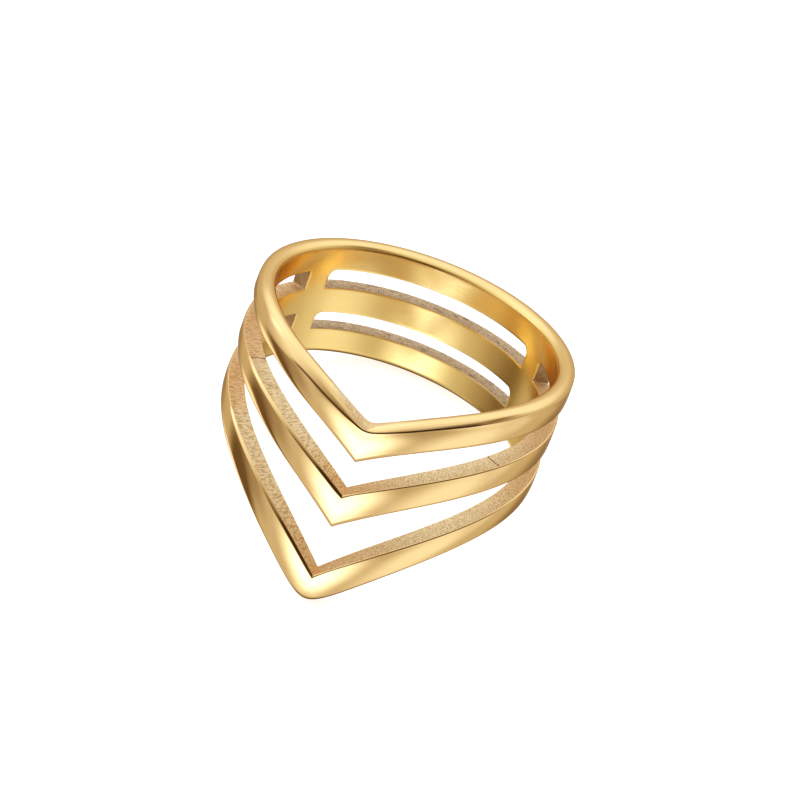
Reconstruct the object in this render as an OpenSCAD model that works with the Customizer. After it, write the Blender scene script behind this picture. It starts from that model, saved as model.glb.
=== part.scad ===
// Chevron ring in polished yellow metal, one piece.
// Three bands dip to a point in front and run level round the back. One upright bridge on each side joins
// them, and the gaps between the bands are cut right through. The top and bottom rims are rounded.
// It stands as it would by itself on a table, on its lowest point in front and on its lower rim at the back.
// The point faces -Y, and the origin is on the table under the middle of the ring.

/* [Finger hole] */
// Inner diameter, which sets the finger size
bore_d = 17.3; // [15:0.1:22]

/* [Metal] */
// Thickness from the inner face to the outer face
wall = 1.25; // [0.9:0.05:1.8]
// Height of the rounding on the top rim and on the bottom rim
rim_h = 0.45; // [0.25:0.05:0.7]

/* [Bands and gaps at the back] */
// Height of the top band
top_band_h = 1.82; // [1.5:0.02:3]
// Height of the upper gap
upper_gap_h = 1.27; // [0.8:0.01:2.5]
// Height of the middle band
mid_band_h = 1.72; // [1:0.02:3]
// Height of the lower gap
lower_gap_h = 1.16; // [0.8:0.01:2.5]
// Height of the bottom band
bottom_band_h = 1.82; // [1.5:0.02:3]

/* [Bands and gaps at the point] */
// How far the top rim dips from the back to the point
point_drop = 3.17; // [1.5:0.01:5]
// Height of the top band
top_band_point_h = 2.26; // [1.6:0.02:3.5]
// Height of the upper gap
upper_gap_point_h = 2.22; // [1.6:0.02:4]
// Height of the middle band
mid_band_point_h = 2.14; // [1.4:0.02:3.5]
// Height of the lower gap
lower_gap_point_h = 3.35; // [2:0.05:5]
// Height of the bottom band
bottom_band_point_h = 1.8; // [1.5:0.02:3.5]

/* [Sweep from the back to the point] */
// How late the top rim bends down, where a larger number keeps it level for longer
top_rim_bend = 5.5; // [4.5:0.1:6.5]
// How late the upper gap's top edge bends down
upper_gap_top_bend = 6; // [5:0.1:7]
// How late the upper gap's bottom edge bends down
upper_gap_bottom_bend = 4.6; // [4:0.1:5.5]
// How late the lower gap's top edge bends down
lower_gap_top_bend = 5.2; // [4.5:0.1:6]
// How late the lower gap's bottom edge bends down
lower_gap_bottom_bend = 4.2; // [3.5:0.1:5]
// How late the bottom rim bends down
bottom_rim_bend = 4.5; // [3.8:0.1:5.2]
// How far from the point the top rim's tip starts to round
top_tip_round = 0.35; // [0.1:0.05:1]
// How far from the point the bottom rim's tip starts to round
bottom_tip_round = 1; // [0.3:0.05:2]

/* [Bridges] */
// Angle from the point round to the middle of each bridge
bridge_angle = 126; // [110:0.5:140]
// Width of each bridge on the inner face
bridge_w = 1.66; // [1.2:0.02:2.6]
// Radius of the upper corners of the gaps at the back
gap_corner_r = 0.55; // [0.2:0.05:0.7]

/* [Hidden] */

// Segments of a full circle on the walls
WALL_FN = 180;
// Columns of points from the point round to the back, closer together near the point
RIM_COLUMNS = 40;
GAP_COLUMNS = 30;
CROWDING = 1.5;
// Degrees between the points of the rims' rounding, and where the rounding leaves the walls
RIM_STEP = 15;
RIM_START = 30;
// How far the cutting shapes run past the walls
OVERRUN = 1;
// Degrees between the points of a gap's rounded corner, and between its columns at the back
CORNER_STEP = 22.5;
BACK_STEP = 5;

bore_r = bore_d / 2;
mid_r = bore_r + wall / 2;
outer_r = bore_r + wall;

function arc_deg(length, radius) = length / radius * 180 / PI;

front_gap_end = bridge_angle - arc_deg(bridge_w / 2, bore_r);
back_gap_start = bridge_angle + arc_deg(bridge_w / 2, bore_r);

// An edge runs right round the ring. Columns: height at the back, height at the point, bend, and how many
// degrees from the point its tip starts to round. Heights count from the top of the top rim at the back.
BACK = 0;
POINT = 1;
BEND = 2;
ROUND = 3;
top_rim = [-rim_h, -point_drop - rim_h, top_rim_bend, arc_deg(top_tip_round, mid_r)];
upper_gap_top = [-top_band_h, -point_drop - top_band_point_h, upper_gap_top_bend, 0];
upper_gap_bottom = [upper_gap_top[BACK] - upper_gap_h, upper_gap_top[POINT] - upper_gap_point_h,
    upper_gap_bottom_bend, 0];
lower_gap_top = [upper_gap_bottom[BACK] - mid_band_h, upper_gap_bottom[POINT] - mid_band_point_h,
    lower_gap_top_bend, 0];
lower_gap_bottom = [lower_gap_top[BACK] - lower_gap_h, lower_gap_top[POINT] - lower_gap_point_h,
    lower_gap_bottom_bend, 0];
bottom_rim = [lower_gap_bottom[BACK] - bottom_band_h + rim_h,
    lower_gap_bottom[POINT] - bottom_band_point_h + rim_h,
    bottom_rim_bend, arc_deg(bottom_tip_round, mid_r)];

// Height of an edge at an angle from the point, from -180 to 180
function level(a, edge) = max(0, 1 - norm([a, edge[ROUND]]) / 180) / (1 - edge[ROUND] / 180);
function edge_z(a, edge) = edge[BACK] - (edge[BACK] - edge[POINT]) * pow(level(a, edge), edge[BEND]);

// A place in the ring from its radius, its angle from the point and its height
function place(r, a, z) = [r * sin(a), -r * cos(a), z];

// Angles from -last to last, crowded towards the point
function crowded(last, count, from, to) =
    [for (i = [from:to]) sign(i) * last * pow(abs(i) / count, CROWDING)];

// The rim's rounding is half an ellipse over the wall. Its ends run on past both faces of the wall.
function rim_arc(up) = [for (t = [RIM_START:RIM_STEP:180 - RIM_START]) [wall / 2 * cos(t), up * rim_h * sin(t)]];
function run_on(side, up) =
    let (last = [side * wall / 2 * cos(RIM_START), up * rim_h * sin(RIM_START)],
         foot = [side * wall / 2, 0])
    foot + (foot - last) * 1.5;
function back_to_front(points) = [for (i = [len(points) - 1:-1:0]) points[i]];

function rim_column(a, with_ends) =
    let (top = edge_z(a, top_rim), bottom = edge_z(a, bottom_rim),
         top_points = with_ends ? concat([run_on(1, 1)], rim_arc(1), [run_on(-1, 1)])
             : concat([[wall / 2, 0]], rim_arc(1), [[-wall / 2, 0]]),
         bottom_points = with_ends ? concat([run_on(1, -1)], rim_arc(-1), [run_on(-1, -1)])
             : concat([[wall / 2, 0]], rim_arc(-1), [[-wall / 2, 0]]))
    concat(
        [for (p = top_points) place(mid_r + p[0], a, top + p[1])],
        [for (p = back_to_front(bottom_points)) place(mid_r + p[0], a, bottom + p[1])]);

// The lean that brings the lowest point in front and the lower rim at the back onto one level
lean = atan((bottom_rim[BACK] - bottom_rim[POINT]) / (2 * mid_r));
function leaned(p) = [p[0], p[1] * cos(lean) + p[2] * sin(lean), p[2] * cos(lean) - p[1] * sin(lean)];
rim_angles = crowded(180, RIM_COLUMNS, -RIM_COLUMNS, RIM_COLUMNS - 1);
outside = [for (a = rim_angles) for (p = rim_column(a, false)) leaned(p)];
table_z = min([for (p = outside) p[2]]);
middle_y = (min([for (p = outside) p[1]]) + max([for (p = outside) p[1]])) / 2;

// A solid through rows of points, closed in a ring or with a flat face at each end
module loft(rows, ring) {
    n = len(rows[0]);
    m = len(rows);
    points = [for (row = rows) for (p = row) p];
    sides = [for (i = [0:m - (ring ? 1 : 2)]) for (j = [0:n - 1])
        let (a = i * n, b = (i + 1) % m * n, k = (j + 1) % n)
        each [[a + j, a + k, b + k], [a + j, b + k, b + j]]];
    ends = ring ? [] : [[for (j = [n - 1:-1:0]) j], [for (j = [0:n - 1]) (m - 1) * n + j]];
    polyhedron(points, concat(sides, ends));
}

module wall_tube() {
    top = OVERRUN;
    bottom = bottom_rim[POINT] - rim_h - OVERRUN;
    translate([0, 0, bottom]) difference() {
        cylinder(h = top - bottom, r = outer_r, $fn = WALL_FN);
        translate([0, 0, -OVERRUN])
            cylinder(h = top - bottom + 2 * OVERRUN, r = bore_r, $fn = WALL_FN);
    }
}

// Everything between the top rim and the bottom rim
module between_rims() {
    loft([for (a = rim_angles) rim_column(a, true)], true);
}

// What one gap takes away, from columns of angle, floor and ceiling
module gap_cut(columns) {
    near = bore_r - OVERRUN;
    far = outer_r + OVERRUN;
    loft([for (c = columns)
        [place(near, c[0], c[1]), place(far, c[0], c[1]), place(far, c[0], c[2]), place(near, c[0], c[2])]],
        false);
}

module front_gap(top, bottom) {
    gap_cut([for (a = crowded(front_gap_end, GAP_COLUMNS, -GAP_COLUMNS, GAP_COLUMNS))
        [a, edge_z(a, bottom), edge_z(a, top)]]);
}

// The gap at the back has rounded upper corners
module back_gap(top, bottom) {
    corner = [for (t = [0:CORNER_STEP:90 - CORNER_STEP])
        [back_gap_start + arc_deg(gap_corner_r * (1 - cos(t)), bore_r), gap_corner_r * (1 - sin(t))]];
    straight_start = back_gap_start + arc_deg(gap_corner_r, bore_r);
    count = ceil((180 - straight_start) / BACK_STEP);
    half = concat(corner, [for (i = [0:count]) [straight_start + (180 - straight_start) * i / count, 0]]);
    mirrored = [for (i = [len(half) - 2:-1:0]) [360 - half[i][0], half[i][1]]];
    gap_cut([for (c = concat(half, mirrored))
        let (a = min(c[0], 360 - c[0])) [c[0], edge_z(a, bottom), edge_z(a, top) - c[1]]]);
}

module chevron_ring() {
    color("gold") translate([0, -middle_y, -table_z]) rotate([-lean, 0, 0]) difference() {
        intersection() {
            wall_tube();
            between_rims();
        }
        front_gap(upper_gap_top, upper_gap_bottom);
        front_gap(lower_gap_top, lower_gap_bottom);
        back_gap(upper_gap_top, upper_gap_bottom);
        back_gap(lower_gap_top, lower_gap_bottom);
    }
}

chevron_ring();
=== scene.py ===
import itertools
import math

import bmesh
import bpy
import numpy as np
from mathutils import Matrix, Vector


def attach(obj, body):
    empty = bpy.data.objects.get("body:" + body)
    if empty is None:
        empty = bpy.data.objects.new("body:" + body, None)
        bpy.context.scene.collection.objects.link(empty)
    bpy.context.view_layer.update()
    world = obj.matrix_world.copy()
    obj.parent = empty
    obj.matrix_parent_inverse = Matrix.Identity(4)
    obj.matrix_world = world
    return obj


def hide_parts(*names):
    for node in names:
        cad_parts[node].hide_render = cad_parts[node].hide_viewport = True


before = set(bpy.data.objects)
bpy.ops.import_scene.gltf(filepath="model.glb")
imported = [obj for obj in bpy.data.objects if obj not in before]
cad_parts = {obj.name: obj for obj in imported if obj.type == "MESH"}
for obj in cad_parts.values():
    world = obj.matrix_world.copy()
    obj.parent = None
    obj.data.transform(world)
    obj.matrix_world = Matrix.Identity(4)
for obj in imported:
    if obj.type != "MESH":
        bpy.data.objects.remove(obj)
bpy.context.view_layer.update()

MM = 0.001

# Sizes of the ring in millimetres, as in the solid model
BORE_R = 8.65
WALL = 1.25
MID_R = BORE_R + WALL / 2
OUTER_R = BORE_R + WALL
RIM_H = 0.45


def arc_deg(length, radius):
    return math.degrees(length / radius)


def smooth(x, low, high):
    t = np.clip((x - low) / (high - low), 0, 1)
    return t * t * (3 - 2 * t)


# Angles go round the ring in degrees: 0 at the point, positive to the viewer's right, 180 at the back. An edge that
# runs round the ring has a height at the back, a height at the point, a bend, and how far from the point its tip
# starts to round. Heights count from the top of the top rim at the back. Lift raises the edge on the right of the
# point and lowers it on the left, as the hand polishing left it.
class Edge:
    # The slant is measured over this many degrees either side, and no nearer the point than the second number
    SLANT_STEP, SLANT_NEAREST = 0.02, 0.05

    def __init__(self, back, point, bend, soft=0.0, lift=0.0):
        self.back, self.point, self.bend, self.lift = back, point, bend, lift
        self.soft = arc_deg(soft, MID_R)

    def z(self, a):
        level = np.clip(1 - np.hypot(a, self.soft) / 180, 0, None) / (1 - self.soft / 180)
        lift = np.where(np.abs(a) < 90, self.lift * np.sin(np.radians(2 * np.asarray(a))), 0)
        return self.back - (self.back - self.point) * level ** self.bend + lift

    def slant(self, a):
        """How much longer a width measured straight up is than one square to the edge."""
        step, nearest = self.SLANT_STEP, self.SLANT_NEAREST
        a = np.where(np.abs(a) < nearest, np.where(np.asarray(a) < 0, -nearest, nearest), a)
        rise = (self.z(a + step) - self.z(a - step)) / (math.radians(2 * step) * OUTER_R)
        return np.hypot(1, rise)


TOP_RIM = Edge(-RIM_H, -3.08 - RIM_H, 5.5, 0.35)
UPPER_TOP = Edge(-1.82, -3.17 - 2.26, 6)
UPPER_BOTTOM = Edge(UPPER_TOP.back - 1.27, UPPER_TOP.point - 2.22, 4.6)
LOWER_TOP = Edge(UPPER_BOTTOM.back - 1.72, UPPER_BOTTOM.point - 2.14, 5.2)
LOWER_BOTTOM = Edge(LOWER_TOP.back - 1.16, LOWER_TOP.point - 3.35, 4.2)
BOTTOM_RIM = Edge(LOWER_BOTTOM.back - 1.82 + RIM_H, LOWER_BOTTOM.point - 1.8 + RIM_H, 4.5, 1.0, 0.1)

BRIDGE_ANGLE = 126
BRIDGE_W = 1.66
FRONT_END = BRIDGE_ANGLE - arc_deg(BRIDGE_W / 2, BORE_R)
BACK_START = BRIDGE_ANGLE + arc_deg(BRIDGE_W / 2, BORE_R)
CORNER_R = 0.55

# How it lies on the table
LEAN = math.atan((BOTTOM_RIM.back - BOTTOM_RIM.point) / (2 * MID_R))
MIDDLE_Y = -2.68661
TABLE_Z = -10.66066

# The outer face: slightly narrower from side to side, and each band slightly domed in front
SIDE_DROP = 0.16
DOME = 0.05
DOME_FADE = (75, 105)
BANDS = ((TOP_RIM, UPPER_TOP), (UPPER_BOTTOM, LOWER_TOP), (LOWER_BOTTOM, BOTTOM_RIM))


def outer_radius(a, z):
    near = 1 - smooth(np.abs(a), *DOME_FADE)
    sag = np.full(np.broadcast(a, z).shape, DOME)
    for top, bottom in BANDS:
        high, low = top.z(a), bottom.z(a)
        v = 2 * (high - z) / (high - low) - 1
        sag = np.where(np.abs(v) < 1, DOME * v * v, sag)
    return OUTER_R - SIDE_DROP * np.sin(np.radians(a)) ** 2 - sag * near


# Lengths below are in millimetres, and a fade or an end is a pair of angles in degrees.
# The strip along a gap's floor: how deep it goes into the wall, how far it drops, how much it bends, and the crease
# at its edge, which takes at most a share of the strip. Its depth changes at the seams, and the drop on the left
# arms is given for each gap.
SEAM_LEFT, SEAM_RIGHT, SEAM_FADE = -55.6, 50.3, 0.3
FLOOR_DEEP_BEYOND, FLOOR_DEEP_LEFT, FLOOR_DEEP_RIGHT, FLOOR_DEEP_FADE = 0.09, 0.12, 0.07, (-6, 3)
FLOOR_OVER, FLOOR_OVER_LEFT = 0.02, (0.12, 0.10)
FLOOR_OVER_FADE, FLOOR_OVER_END = (-4, 4), (60, 90)
STRIP_BEND = 0.2
CREASE, CREASE_SHARE = 0.09, 0.7

# The rounding along a gap's ceiling: how far up it reaches, how deep, and the crease at its top in degrees. All
# three grow on the left arms, where the rims' edges close in too.
CEILING_OVER, CEILING_DEEP = 0.28, 0.13
CEILING_OVER_LEFT, CEILING_DEEP_LEFT, CEILING_CREASE_LEFT = 0.75, 0.3, 35
RIM_DROP_LEFT, BOTTOM_RISE_LEFT = 0.28, 0.42
LEFT_ROUND, LEFT_ROUND_END = (23, 47), (72, 100)

# The edges of the inner wall, and of the gaps' ends
INNER_EDGE = 0.03
END_OVER = 0.08

# The crease under the top rim: its radius, its angle in degrees, and how much higher than the solid's it runs
RIM_CREASE_R = 0.07
RIM_CREASE, RIM_CREASE_FADE = 38, (36, 58)
RIM_LIFT, RIM_LIFT_END = 0.12, 80
POINT_LIFT, POINT_LIFT_END, POINT_LIFT_POWER = 0.16, 14, 1.5

# Painted shade: dark lines painted into the creases in place of their dark reflection. How strong on the right and
# the left, and where they end
FLOOR_CREASE_SHADE_RIGHT, FLOOR_CREASE_SHADE_RIGHT_END = 0.65, (45, 75)
FLOOR_CREASE_SHADE_LEFT, FLOOR_CREASE_SHADE_LEFT_END = 0.75, (16, 30)
RIM_CREASE_SHADE, RIM_CREASE_SHADE_RIGHT_END, RIM_CREASE_SHADE_LEFT_END = 0.9, (33, 38), (28, 36)
RIM_CREASE_SHADE_ABOVE, RIM_CREASE_SHADE_ABOVE_START, RIM_CREASE_SHADE_ABOVE_ROWS = 0.8, (14, 26), 2

# Numbers of points, how much the front columns crowd towards the point, and how close to a gap's end they start to
# move out over its rounded edge
FRONT_COLUMNS = 130
CROWDING, OUT_POWER = 1.6, 24
BRIDGE_COLUMNS = 8
CORNER_COLUMNS = 8
BACK_COLUMNS = 26
BAND_ROWS = 12
BRIDGE_ROWS = 8
ROUND_STEPS, STRIP_STEPS = 8, 3
WALL_STEPS = 3
RIM_STEPS = 22
FOOT_STEPS = 4

# Points closer together than this, in millimetres, are joined
SAME_POINT = 2e-5

# The two materials' places on the mesh
POLISHED, CUT = 0, 1

# Each gap has a part in front, 0, which ends at its last column, and a part at the back, 1, which ends at its first
GAPS = ((UPPER_TOP, UPPER_BOTTOM), (LOWER_TOP, LOWER_BOTTOM))
ENDS = ((0, -1), (1, 0))


def curve(first, bend, last, count):
    """Points on a curve from the first to the last, drawn towards the bend."""
    t = np.linspace(0, 1, count + 1).reshape(-1, 1, 1)
    return (1 - t) ** 2 * first + 2 * t * (1 - t) * bend + t * t * last


def pair(depth, drop):
    """Depths and drops put together, with the drop last."""
    return np.stack(np.broadcast_arrays(np.asarray(depth, float), np.asarray(drop, float)), -1)


def floor_edge(over, deep):
    """From a gap's floor out to the face: a nearly flat polished strip, then a small crease. Each point has its
    depth under the face and its distance below the floor, for every column."""
    start, corner = pair(deep, 0 * over), pair(0 * over, over)
    run = corner - start
    length = np.linalg.norm(run, axis=-1, keepdims=True)
    near = corner - run / length * np.minimum(CREASE, CREASE_SHARE * length)
    strip = curve(start, (start + near) / 2 - pair(0, STRIP_BEND * over), near, STRIP_STEPS)
    crease = curve(near, corner, corner + pair(0, CREASE), ROUND_STEPS - STRIP_STEPS)
    return np.concatenate([strip, crease[1:]])


def round_edge(over, deep, steps, crease=0.0):
    """From a gap's wall out to the face: a rounding, which meets the face at a slight crease."""
    end = np.radians(90 - crease)
    t = end * np.linspace(0, 1, steps + 1)[:, None]
    return pair(deep * (1 - np.sin(t) / np.sin(end)), over * (1 - np.cos(t)) / (1 - np.cos(end)))


def left_round(a):
    """How far the left arms are rounded off from below: fully at the side, where the face ends in a tip."""
    return smooth(-a, *LEFT_ROUND) * (1 - smooth(-a, *LEFT_ROUND_END))


def floor_over(a, gap):
    """How far the strip at a gap's floor drops: more on the left arms than on the right."""
    left = (1 - smooth(a, *FLOOR_OVER_FADE)) * (1 - smooth(-a, *FLOOR_OVER_END))
    return FLOOR_OVER + FLOOR_OVER_LEFT[gap] * left


def floor_deep(a):
    """How deep the strip at a gap's floor is."""
    front = FLOOR_DEEP_LEFT + (FLOOR_DEEP_RIGHT - FLOOR_DEEP_LEFT) * smooth(a, *FLOOR_DEEP_FADE)
    beyond = sum(smooth(away, seam - SEAM_FADE, seam + SEAM_FADE)
                 for away, seam in ((a, SEAM_RIGHT), (-a, -SEAM_LEFT)))
    return front + (FLOOR_DEEP_BEYOND - front) * beyond


def floor_crease_shade(a):
    """How dark the painted shade line in the crease along a gap's floor is, for every row and column."""
    row = np.arange(ROUND_STEPS + 1)[:, None]
    right = FLOOR_CREASE_SHADE_RIGHT * (1 - smooth(a, *FLOOR_CREASE_SHADE_RIGHT_END))
    left = FLOOR_CREASE_SHADE_LEFT * (1 - smooth(-a, *FLOOR_CREASE_SHADE_LEFT_END))
    return ((row > STRIP_STEPS + 1) & (row < ROUND_STEPS)) * np.where(a > 0, right, left)


def rim_crease_shade(a, rows):
    """How dark the painted shade line in the crease under the top rim is, for every row and column. On the right it
    is wider.
    """
    line = RIM_CREASE_SHADE * np.where(a > 0, 1 - smooth(a, *RIM_CREASE_SHADE_RIGHT_END), 1 - smooth(-a, *RIM_CREASE_SHADE_LEFT_END))
    crease_shade = np.zeros((rows, len(a)))
    crease_shade[1:FOOT_STEPS] = line
    above = RIM_CREASE_SHADE_ABOVE * smooth(a, *RIM_CREASE_SHADE_ABOVE_START)
    crease_shade[FOOT_STEPS:FOOT_STEPS + RIM_CREASE_SHADE_ABOVE_ROWS] = above * line
    return crease_shade


class Ring:
    """Collects grids of points, and joins those that meet. The shader reads where each corner is on the ring: its
    place, which is along the band, into the wall and up, its place round a circle, and its painted crease shade."""

    def __init__(self):
        self.points, self.quads, self.kinds = [], [], []
        self.attributes = {"place": [], "circle": [], "crease_shade": []}
        self.count = 0

    def add(self, r, a, z, kind, crease_shade=0.0):
        """Add a grid of points, given by radius, angle and height, whose faces have one material."""
        r, a, z = np.broadcast_arrays(r, a, z)
        sin, cos = np.sin(np.radians(a)), np.cos(np.radians(a))
        x, y, depth = r * sin, -r * cos, OUTER_R - r
        c, s = math.cos(LEAN), math.sin(LEAN)
        index = np.arange(r.size).reshape(r.shape) + self.count
        quads = np.stack([index[:-1, :-1], index[1:, :-1], index[1:, 1:], index[:-1, 1:]], -1).reshape(-1, 4)
        self.points.append(np.stack([x, y * c + z * s - MIDDLE_Y, z * c - y * s - TABLE_Z], -1).reshape(-1, 3))
        # The crease shade is painted shade: how dark each corner's crease line is painted, in place of its dark
        # reflection
        crease_shade = np.broadcast_to(crease_shade, r.shape)
        for name, values in (("place", (np.radians(a) * MID_R, depth, z)),
                             ("circle", (MID_R * sin, MID_R * cos, z + depth)), ("crease_shade", (crease_shade, crease_shade, crease_shade))):
            self.attributes[name].append(np.stack(values, -1).reshape(-1, 3))
        self.quads.append(quads)
        self.kinds.append(np.full(len(quads), kind))
        self.count += r.size

    def mesh(self, name):
        points, kinds = np.vstack(self.points), np.concatenate(self.kinds)
        _, first, back = np.unique(np.round(points / SAME_POINT).astype(np.int64), axis=0,
                                   return_index=True, return_inverse=True)
        back = back.ravel()
        faces, kept, corners = [], [], []
        for quad, kind in zip(np.vstack(self.quads).tolist(), kinds.tolist()):
            corner = [v for i, v in enumerate(quad) if back[v] != back[quad[i - 1]]]
            if len(corner) > 2:
                faces.append([int(back[v]) for v in corner])
                kept.append(kind)
                corners += corner
        mesh = bpy.data.meshes.new(name)
        mesh.from_pydata((points[first] * MM).tolist(), [], faces)
        mesh.polygons.foreach_set("material_index", np.array(kept, np.int32))
        mesh.polygons.foreach_set("use_smooth", np.ones(len(faces), bool))
        for attribute, values in self.attributes.items():
            layer = mesh.attributes.new(attribute, "FLOAT_VECTOR", "CORNER")
            layer.data.foreach_set("vector", np.vstack(values)[corners].astype(np.float32).ravel())
        bm = bmesh.new()
        bm.from_mesh(mesh)
        bmesh.ops.recalc_face_normals(bm, faces=bm.faces)
        for edge in bm.edges:
            edge.smooth = len({face.material_index for face in edge.link_faces}) == 1
        bm.to_mesh(mesh)
        bm.free()
        return mesh


def side_columns(grow):
    """Angles of the columns from the point to the back, along the front gaps, over the bridge and along the back
    gaps. Those along a gap come twice, on the gap's edge and moved out over its rounded end."""
    k = np.arange(FRONT_COLUMNS + 1) / FRONT_COLUMNS
    front = FRONT_END * k ** CROWDING
    t = np.linspace(0, math.pi / 2, CORNER_COLUMNS + 1)
    corner = arc_deg(CORNER_R, MID_R)
    start = BACK_START + corner
    rest = start + (180 - start) * np.arange(1, BACK_COLUMNS + 1) / BACK_COLUMNS
    back = np.concatenate([start - corner * np.cos(t), rest])
    back_out = np.concatenate([start - (corner + grow) * np.cos(t), rest])
    turn = np.concatenate([np.sin(t), np.ones(len(rest))])
    front_out = front + grow * k ** OUT_POWER
    bridge = np.linspace(front_out[-1], back_out[0], BRIDGE_COLUMNS + 1)
    return (front, front_out, np.ones(len(k))), bridge, (back, back_out, turn)


def gap_edge(edge, up, gap, a, out, turn, outer, front):
    """The edge of a gap along its floor or ceiling, as a grid of radius, angle and height."""
    if not outer:
        profile = round_edge(INNER_EDGE + 0 * a, INNER_EDGE + 0 * a, STRIP_STEPS)
    elif up:
        left = left_round(a)
        profile = round_edge(CEILING_OVER + (CEILING_OVER_LEFT - CEILING_OVER) * left,
                             CEILING_DEEP + (CEILING_DEEP_LEFT - CEILING_DEEP) * left, ROUND_STEPS,
                             CEILING_CREASE_LEFT * left)
    else:
        profile = floor_edge(floor_over(a, gap), floor_deep(a))
    depth, drop = profile[..., 0], profile[..., 1]
    angle = a + (out - a) * drop / drop[-1:]
    z = edge.z(a)
    if up:
        z = z - (0 if front else CORNER_R) * (1 - turn) + drop * turn * edge.slant(a)
    else:
        z = z - drop * edge.slant(a)
    radius = outer_radius(angle[-1], z[-1]) - depth if outer else BORE_R + depth
    return radius, angle, z


def rim_lift(a):
    """How much higher than the solid's edge the crease under the top rim runs."""
    lift = RIM_LIFT * np.sin(np.radians(180 * a / RIM_LIFT_END)) * (np.abs(a) < RIM_LIFT_END)
    lift = lift + POINT_LIFT * np.clip(1 - np.abs(a) / POINT_LIFT_END, 0, 1) ** POINT_LIFT_POWER
    return lift - RIM_DROP_LEFT * left_round(a)


def build_face(ring, side, outer):
    """The outer or the inner face on one side of the point. Returns the gaps' edges and the rims' lines."""
    walls = {}
    front, bridge, back = side_columns(arc_deg(END_OVER if outer else INNER_EDGE, MID_R))
    count = len(front[0])
    angles = np.concatenate([front[1][:-1], bridge, back[1][1:]]) * side
    limits = [TOP_RIM.z(angles) + (rim_lift(angles) - RIM_CREASE_R if outer else 0)]
    for gap, edges in enumerate(GAPS):
        for up, edge in zip((True, False), edges):
            ends = []
            for where, (a, out, turn) in enumerate((front, back)):
                grid = gap_edge(edge, up, gap, a * side, out * side, turn, outer, where == 0)
                # On the outer face, the floor's crease gets a painted shade line
                ring.add(*grid, POLISHED, floor_crease_shade(a * side) if outer and not up else 0.0)
                walls[outer, gap, where, up] = grid
                ends.append(grid[2][-1])
            over = np.linspace(ends[0][-1], ends[1][0], BRIDGE_COLUMNS + 1)
            limits.append(np.concatenate([ends[0][:-1], over, ends[1][1:]]))
    limits.append(BOTTOM_RIM.z(angles) + (BOTTOM_RISE_LEFT * left_round(angles) if outer else 0))
    # Bands and, between them, the bridge
    for i in range(5):
        part = slice(count - 1, count + BRIDGE_COLUMNS) if i % 2 else slice(None)
        s = np.linspace(0, 1, (BRIDGE_ROWS if i % 2 else BAND_ROWS) + 1)[:, None]
        z = limits[i][part] + (limits[i + 1] - limits[i])[part] * s
        a = np.broadcast_to(angles[part], z.shape)
        ring.add(outer_radius(a, z) if outer else BORE_R, a, z, POLISHED)
    # Edges of the gaps' ends
    s = np.linspace(0, 1, BRIDGE_ROWS + 1)[None]
    for gap, (where, column) in itertools.product((0, 1), ENDS):
        top, bottom = ([v[:, column][:, None] for v in walls[outer, gap, where, up]] for up in (True, False))
        ring.add(*(t + (b - t) * s for t, b in zip(top, bottom)), POLISHED)
    return walls, (angles, limits[0] + (RIM_CREASE_R if outer else 0), limits[-1])


def build_gaps(ring, walls):
    """The cut walls from the outer to the inner face: each gap's floor, ceiling and ends."""
    s = np.linspace(0, 1, WALL_STEPS + 1)[:, None]
    rows = np.linspace(0, 1, BRIDGE_ROWS + 1)[None]
    for gap, (where, column) in itertools.product((0, 1), ENDS):
        corners = []
        for up in (True, False):
            out, inn = walls[True, gap, where, up], walls[False, gap, where, up]
            ring.add(*(o[0] + (i[0] - o[0]) * s for o, i in zip(out, inn)), CUT)
            corners.append([(o[0, column], i[0, column]) for o, i in zip(out, inn)])
        ring.add(*((t[0] + (b[0] - t[0]) * rows) * (1 - s) + (t[1] + (b[1] - t[1]) * rows) * s
                   for t, b in zip(*corners)), CUT)


def build_rim(ring, outer_line, inner_line, up, edge):
    """A rounded rim from the outer to the inner face. The top one starts from a crease."""
    (a0, z0), (a1, z1) = outer_line, inner_line
    r0 = outer_radius(a0, z0)
    crease = np.radians(RIM_CREASE * (1 - smooth(np.abs(a0), *RIM_CREASE_FADE))) if up > 0 else 0 * a0
    t = crease + (math.pi - 2 * crease) * np.linspace(0, 1, RIM_STEPS + 1)[:, None]
    across = (1 - np.cos(t) / np.cos(crease)) / 2
    high = (np.sin(t) - np.sin(crease)) / (1 - np.sin(crease))
    a = a0 + (a1 - a0) * across
    base = z0 + (z1 - z0) * across
    arc = np.stack([r0 + (BORE_R - r0) * across, a, base + (edge.z(a) + up * RIM_H - base) * high])
    if up < 0:
        ring.add(*arc, POLISHED)
        return
    foot = np.stack([outer_radius(a0, z0 - RIM_CREASE_R), a0, z0 - RIM_CREASE_R])
    bend = curve(foot, arc[:, 0], arc[:, 1], FOOT_STEPS)
    arc = np.concatenate([np.moveaxis(bend, 0, 1), arc[:, 2:]], 1)
    # The crease under the top rim gets a painted shade line
    ring.add(*arc, POLISHED, rim_crease_shade(a0, arc.shape[1]))


def build_ring():
    ring = Ring()
    for side in (1, -1):
        (walls, outer), (inner_walls, inner) = (build_face(ring, side, face) for face in (True, False))
        build_gaps(ring, {**walls, **inner_walls})
        for line, up, edge in ((1, 1, TOP_RIM), (2, -1, BOTTOM_RIM)):
            build_rim(ring, (outer[0], outer[line]), (inner[0], inner[line]), up, edge)
    return ring.mesh("chevron_ring_polished")


ring_mesh = build_ring()
ring = bpy.data.objects.new("chevron_ring_polished", ring_mesh)
bpy.context.scene.collection.objects.link(ring)


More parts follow.
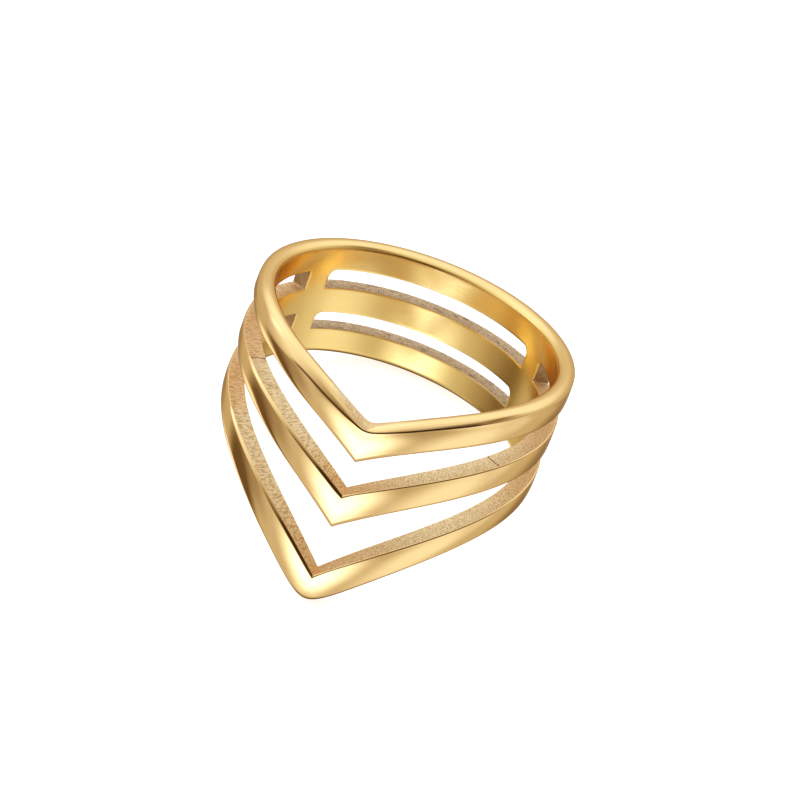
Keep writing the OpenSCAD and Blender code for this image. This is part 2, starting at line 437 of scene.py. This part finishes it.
class Graph:
    """Short ways to build shader nodes. A value is a number, a colour or another node's output."""

    def __init__(self, tree):
        self.tree = tree

    def add(self, kind, *values, out=0, **settings):
        """Add a node with its settings, give its inputs their values in order, and return one of its outputs."""
        node = self.tree.nodes.new(kind)
        for name, value in settings.items():
            setattr(node, name, value)
        for value, socket in zip(values, (s for s in node.inputs if s.enabled)):
            self.connect(value, socket)
        return [s for s in node.outputs if s.enabled][out]

    def connect(self, value, socket):
        if isinstance(value, bpy.types.NodeSocket):
            self.tree.links.new(value, socket)
        elif value is not None:
            socket.default_value = value

    def math(self, operation, *values):
        return self.add("ShaderNodeMath", *values, operation=operation)

    def ramp(self, value, low, high, at_low=0.0, at_high=1.0):
        """Go smoothly from one result to another while the value goes from low to high, or back if high is less."""
        return self.add("ShaderNodeMapRange", value, low, high, at_low, at_high, interpolation_type="SMOOTHSTEP")

    def mix(self, factor, first, second, blend="MIX"):
        first, second = ((*c, 1) if isinstance(c, tuple) else c for c in (first, second))
        return self.add("ShaderNodeMix", factor, first, second, data_type="RGBA", blend_type=blend)

    def mix_numbers(self, factor, first, second):
        return self.add("ShaderNodeMix", factor, first, second, data_type="FLOAT")

    def dot(self, vector, other):
        return self.add("ShaderNodeVectorMath", vector, other, operation="DOT_PRODUCT")

    def attribute(self, name):
        """The three parts of a corner attribute."""
        axes = self.tree.nodes.new("ShaderNodeSeparateXYZ")
        self.connect(self.add("ShaderNodeAttribute", attribute_name=name, out=1), axes.inputs[0])
        return list(axes.outputs)

    def noise(self, along, across, detail=2.0):
        """Noise with so many grains per millimetre along the band and across it."""
        circle = self.add("ShaderNodeAttribute", attribute_name="circle", out=1)
        stretched = self.add("ShaderNodeVectorMath", circle, (along, along, across), operation="MULTIPLY")
        return self.add("ShaderNodeTexNoise", stretched, 1.0, detail)


OUTER_GOLD, INNER_GOLD = (1.0, 0.67, 0.28), (1.0, 0.68, 0.23)
SANDY, TAN, ORANGE = (1.0, 0.79, 0.46), (1.0, 0.72, 0.38), (0.97, 0.68, 0.34)
GREY_TAN, END_BROWN, SEAM_BROWN = (0.88, 0.66, 0.4), (0.62, 0.42, 0.22), (0.36, 0.2, 0.1)
GRAIN_SHADE, PATCH_SHADE, WAVE_SHADE = (0.76, 0.66, 0.5), (0.97, 0.95, 0.9), (0.95, 0.93, 0.88)
# The crease shade colour is painted shade: the dark brown painted into the creases in place of their dark reflection
BACK_SHADE, CREASE_SHADE_COLOUR, WHITE = (0.5, 0.42, 0.34), (0.2, 0.09, 0.03), (1.0, 1.0, 1.0)
SPECULAR_TINT = (0.82, 0.68, 0.5, 1)

# Pairs below say where something starts to show and where it is full. Those of the cut surface are distances along
# the band from the point, in millimetres, and negative ones are on the left.
LINES_LEFT, LINES_END = (0.4, -0.4), (20.5, 19.5)
SANDY_FROM = (0.2, 3.5)
TAN_RIGHT, TAN_LEFT = (8.3, 15), (-8.95, -9.1)
END_WALL_FROM, END_WALL_UNTIL = (19.46, 19.48), (21.3, 21.27)
BACK_FROM = (20.5, 21)
SEAMS, SEAM_HALF, SEAM_WOBBLE = (8.15, -9.0), (0.06, 0.02), 0.35
SEAM_HEIGHT = (-6.6, -6.4)

# Noises: grains per millimetre along the band and across it, and their detail
GRAIN, LINES, LINES_SHARE = (14, 14, 1), (15, 3, 1), 0.75
GRAIN_TONE = (0.38, 0.54)
GRAIN_RANGE, GRAIN_ROUGHNESS, GRAIN_HEIGHT = (0.3, 0.7), (0.7, 0.54), 0.015
PATCHES, WOBBLES = (0.8, 1.5), (0.3, 4)
PITS, PIT_TONE, PIT_SHARE = (1.6, 4), (0.6, 0.66), 0.8
WAVES, WAVE_HEIGHT = (0.35, 0.9, 1), 0.006
WIPES, WIPE_HEIGHT = (1.0, 14), 0.0003
WIPE_RANGE, WIPE_ROUGHNESS = (0.3, 0.7), (0.05, 0.1)

# The inner wall starts at this depth, and is rougher by this much
INNER_FROM, INNER_ROUGHER = (1.0, 1.2), 0.14

# The unpolished corner on the top rim at the point: the depth of its edge at the point and how it grows on the left
# and right, how soft the edge is, and where the corner ends along the band, in height and in depth
CORNER_DEPTH, CORNER_GROW_LEFT, CORNER_GROW_RIGHT = 0.1, 0.16, 0.42
CORNER_SIDES, CORNER_SOFT = (-0.01, 0.01), (-0.04, 0.04)
CORNER_ALONG, CORNER_HEIGHT, CORNER_INNER = (3.4, 2.0), (-5, -4.9), (1.24, 1.2)
CORNER_SANDY = 0.35


def stipple(g):
    """The matte cut surface: fine grains, drawn out into lines across the wall on the left arms. Returns its colour,
    its roughness and its height in millimetres."""
    along, _, high = g.attribute("place")
    away = g.math("ABSOLUTE", along)
    back = g.ramp(away, *BACK_FROM)
    left = g.math("MULTIPLY", g.ramp(along, *LINES_LEFT), g.ramp(away, *LINES_END))
    pattern = g.mix_numbers(g.math("MULTIPLY", left, LINES_SHARE), g.noise(*GRAIN), g.noise(*LINES))
    tone = g.mix(g.ramp(away, *SANDY_FROM), ORANGE, SANDY)
    tone = g.mix(g.math("MAXIMUM", g.ramp(along, *TAN_RIGHT), g.ramp(along, *TAN_LEFT)), tone, TAN)
    tone = g.mix(back, tone, GREY_TAN)
    ends = g.math("MULTIPLY", g.ramp(away, *END_WALL_FROM), g.ramp(away, *END_WALL_UNTIL))
    tone = g.mix(ends, tone, END_BROWN)
    tone = g.mix(1.0, tone, g.mix(g.noise(*PATCHES), PATCH_SHADE, WHITE), "MULTIPLY")
    shade = g.mix(back, GRAIN_SHADE, BACK_SHADE)
    tone = g.mix(1.0, tone, g.mix(g.ramp(pattern, *GRAIN_TONE), shade, WHITE), "MULTIPLY")
    # Seams in the floor of the middle band's gap, and pits at the back
    wobble = g.math("MULTIPLY", g.math("SUBTRACT", g.noise(*WOBBLES), 0.5), SEAM_WOBBLE)
    wavy = g.math("ADD", along, wobble)
    seam = g.math("MAXIMUM", *(g.ramp(g.math("ABSOLUTE", g.math("SUBTRACT", wavy, place)), *SEAM_HALF)
                               for place in SEAMS))
    seam = g.math("MULTIPLY", seam, g.ramp(high, *SEAM_HEIGHT))
    pits = g.math("MULTIPLY", g.ramp(g.noise(*PITS), *PIT_TONE), g.math("MULTIPLY", back, PIT_SHARE))
    tone = g.mix(g.math("MAXIMUM", seam, pits), tone, SEAM_BROWN)
    return tone, g.ramp(pattern, *GRAIN_RANGE, *GRAIN_ROUGHNESS), g.math("MULTIPLY", pattern, GRAIN_HEIGHT)


def gold_material(name):
    m = bpy.data.materials.new(name)
    m.use_nodes = True
    shader = m.node_tree.nodes["Principled BSDF"]
    shader.inputs["Metallic"].default_value = 1.0
    return Graph(m.node_tree), shader, m


def finish_material(g, shader, colour, roughness, height):
    g.connect(colour, shader.inputs["Base Color"])
    g.connect(roughness, shader.inputs["Roughness"])
    bump = g.tree.nodes.new("ShaderNodeBump")
    bump.inputs["Distance"].default_value = MM
    g.connect(height, bump.inputs["Height"])
    g.connect(bump.outputs[0], shader.inputs["Normal"])


def polished_gold():
    g, shader, m = gold_material("polished_gold")
    shader.inputs["Specular Tint"].default_value = SPECULAR_TINT
    along, deep, high = g.attribute("place")
    inner = g.ramp(deep, *INNER_FROM)
    waves, wipes = g.noise(*WAVES), g.noise(*WIPES)
    colour = g.mix(inner, OUTER_GOLD, INNER_GOLD)
    colour = g.mix(1.0, colour, g.mix(waves, WAVE_SHADE, WHITE), "MULTIPLY")
    # Painted shade: the creases are darkened towards dark brown, standing in for their dark reflection
    colour = g.mix(g.attribute("crease_shade")[0], colour, CREASE_SHADE_COLOUR)
    roughness = g.math("ADD", g.ramp(wipes, *WIPE_RANGE, *WIPE_ROUGHNESS), g.math("MULTIPLY", inner, INNER_ROUGHER))
    fine = g.math("MULTIPLY", wipes, g.math("MULTIPLY", g.math("SUBTRACT", 1, inner), WIPE_HEIGHT))
    height = g.math("ADD", g.math("MULTIPLY", waves, WAVE_HEIGHT), fine)
    # The unpolished corner on the top rim at the point, and its strips up the arms
    away = g.math("ABSOLUTE", along)
    grow = g.mix_numbers(g.ramp(along, *CORNER_SIDES), g.math("MULTIPLY", away, CORNER_GROW_LEFT),
                         g.math("MULTIPLY", g.math("SQRT", away), CORNER_GROW_RIGHT))
    past_edge = g.math("SUBTRACT", deep, g.math("ADD", CORNER_DEPTH, grow))
    corner = g.ramp(past_edge, *CORNER_SOFT)
    for value, limits in ((away, CORNER_ALONG), (high, CORNER_HEIGHT), (deep, CORNER_INNER)):
        corner = g.math("MULTIPLY", corner, g.ramp(value, *limits))
    cut_colour, cut_roughness, cut_height = stipple(g)
    colour = g.mix(corner, colour, g.mix(CORNER_SANDY, cut_colour, SANDY))
    roughness = g.mix_numbers(corner, roughness, cut_roughness)
    height = g.math("ADD", height, g.math("MULTIPLY", corner, cut_height))
    finish_material(g, shader, colour, roughness, height)
    return m


def cut_gold():
    g, shader, m = gold_material("cut_gold")
    finish_material(g, shader, *stipple(g))
    return m


ring_mesh.materials.append(polished_gold())
ring_mesh.materials.append(cut_gold())
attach(ring, "root")
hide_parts("chevron_ring")

# The floor is pale, glows a little so that it stays pale under the ring, and doesn't show in the gold
FLOOR_HALF = 1.5
FLOOR_CORNERS = ((-FLOOR_HALF, -FLOOR_HALF, 0), (FLOOR_HALF, -FLOOR_HALF, 0), (FLOOR_HALF, FLOOR_HALF, 0),
                 (-FLOOR_HALF, FLOOR_HALF, 0))
FLOOR_VALUES = {"Base Color": (0.85, 0.85, 0.85, 1), "Roughness": 0.8, "Specular IOR Level": 0,
                "Emission Color": (1, 1, 1, 1), "Emission Strength": 0.7}

floor_mesh = bpy.data.meshes.new("floor")
floor_mesh.from_pydata(FLOOR_CORNERS, [], [(0, 1, 2, 3)])
floor = bpy.data.objects.new("floor", floor_mesh)
bpy.context.scene.collection.objects.link(floor)
floor_material = bpy.data.materials.new("floor")
floor_material.use_nodes = True
for name, value in FLOOR_VALUES.items():
    floor_material.node_tree.nodes["Principled BSDF"].inputs[name].default_value = value
floor_mesh.materials.append(floor_material)
floor.visible_glossy = False


def direction(azimuth, elevation):
    """Unit vector towards a place in the room. Azimuth 0 is -Y, the viewer's side, and 90 is +X."""
    a, e = math.radians(azimuth), math.radians(elevation)
    return Vector((math.sin(a) * math.cos(e), -math.cos(a) * math.cos(e), math.sin(e)))


# The room around the ring: soft white cards and darker flags far away, each a soft spot in the world's brightness.
# Each has azimuth, elevation, half width and half height in degrees, the softness of its edge, and brightness.
CARDS = (
    (40, 80, 24, 24, 0.9, 0.9),
    (-160, 8, 40, 16, 0.9, 0.75),
    (-122, 42, 30, 24, 0.8, 1.25),
    (-94, 20, 12, 18, 0.8, 1.35),
    (100, 48, 26, 20, 0.9, 0.25),
    (28, 42, 30, 16, 0.5, 0.05),
    (58, 16, 24, 12, 0.7, 0.05),
    (30, 18, 24, 12, 0.9, 0.3),
    (-62, -14, 22, 16, 0.8, 0.4),
    (-36, 12, 18, 14, 0.9, 0.25),
    (-5, -6, 36, 24, 0.95, 2.0),
    (58, -21, 40, 26, 0.75, 1.06),
    (92, -20, 18, 12, 0.8, 0.85),
    (-108, -18, 18, 30, 0.35, 0.64),
    (-112, -54, 20, 14, 0.5, 1.3),
    (-78, -34, 23, 28, 0.6, 0.16),
    (142, -48, 30, 18, 0.9, 0.34),
    (-145, -42, 24, 16, 0.9, 0.42),
    (20, -85, 36, 36, 0.4, 0.18),
)
# Behind the cards the room is bright towards the back, dim towards the front and even below. A fade is a pair of
# parts of the way towards the back or up.
BACK_LEVEL, FRONT_LEVEL, LOW_LEVEL = 1.1, 0.18, 0.66
BACK_AZIMUTH, BACK_FADE, UP_FADE = -150, (-0.85, 0.4), (-0.2, 0.5)
# The light is neutral at this brightness, warmer below it and cooler above
NEUTRAL = 0.7
GREEN_POWER, BLUE_POWER = 1.25, 1.6


def light_room():
    world = bpy.data.worlds.new("studio")
    bpy.context.scene.world = world
    world.use_nodes = True
    g = Graph(world.node_tree)
    looking = g.add("ShaderNodeTexCoord")
    upper = g.ramp(g.dot(looking, direction(BACK_AZIMUTH, 0)), *BACK_FADE, FRONT_LEVEL, BACK_LEVEL)
    room = g.ramp(g.dot(looking, (0, 0, 1)), *UP_FADE, LOW_LEVEL, upper)
    for azimuth, elevation, wide, high, soft, level in CARDS:
        middle, across = direction(azimuth, elevation), direction(azimuth + 90, 0)
        u = g.math("DIVIDE", g.dot(looking, across), math.sin(math.radians(wide)))
        v = g.math("DIVIDE", g.dot(looking, across.cross(middle)), math.sin(math.radians(high)))
        away = g.math("SQRT", g.math("ADD", g.math("MULTIPLY", u, u), g.math("MULTIPLY", v, v)))
        ahead = g.math("GREATER_THAN", g.dot(looking, middle), 0)
        spot = g.math("MULTIPLY", g.ramp(away, 1 - soft, 1, 1, 0), ahead)
        rest = g.math("MULTIPLY", room, g.math("SUBTRACT", 1, spot))
        room = g.math("ADD", rest, g.math("MULTIPLY", spot, level))
    relative = g.math("DIVIDE", room, NEUTRAL)
    green, blue = (g.math("MULTIPLY", g.math("POWER", relative, power), NEUTRAL)
                   for power in (GREEN_POWER, BLUE_POWER))
    background = world.node_tree.nodes["Background"]
    g.connect(g.add("ShaderNodeCombineColor", room, green, blue), background.inputs["Color"])
    background.inputs["Strength"].default_value = 1.0


light_room()

# The camera looks from the photo's angle: what it looks at and from how far, its angles, and its lens in millimetres
TARGET = Vector((0.616, 0.248, 5.983)) * MM
DISTANCE = 129.58 * MM
AZIMUTH, ELEVATION, ROLL = 4.247, 46.575, 18.837
LENS, SENSOR, NEAREST = 98.726, 36, 0.005


def camera_matrix():
    back, level = direction(AZIMUTH, ELEVATION), direction(AZIMUTH + 90, 0)
    up = back.cross(level)
    r = math.radians(ROLL)
    right = level * math.cos(r) + up * math.sin(r)
    axes = Matrix((right, back.cross(right), back)).transposed().to_4x4()
    return Matrix.Translation(TARGET + back * DISTANCE) @ axes


camera_data = bpy.data.cameras.new("camera")
camera_data.lens = LENS
camera_data.sensor_width = SENSOR
camera_data.clip_start = NEAREST
camera = bpy.data.objects.new("camera", camera_data)
bpy.context.scene.collection.objects.link(camera)
camera.matrix_world = camera_matrix()
bpy.context.scene.camera = camera
bpy.context.scene.view_settings.view_transform = "Standard"
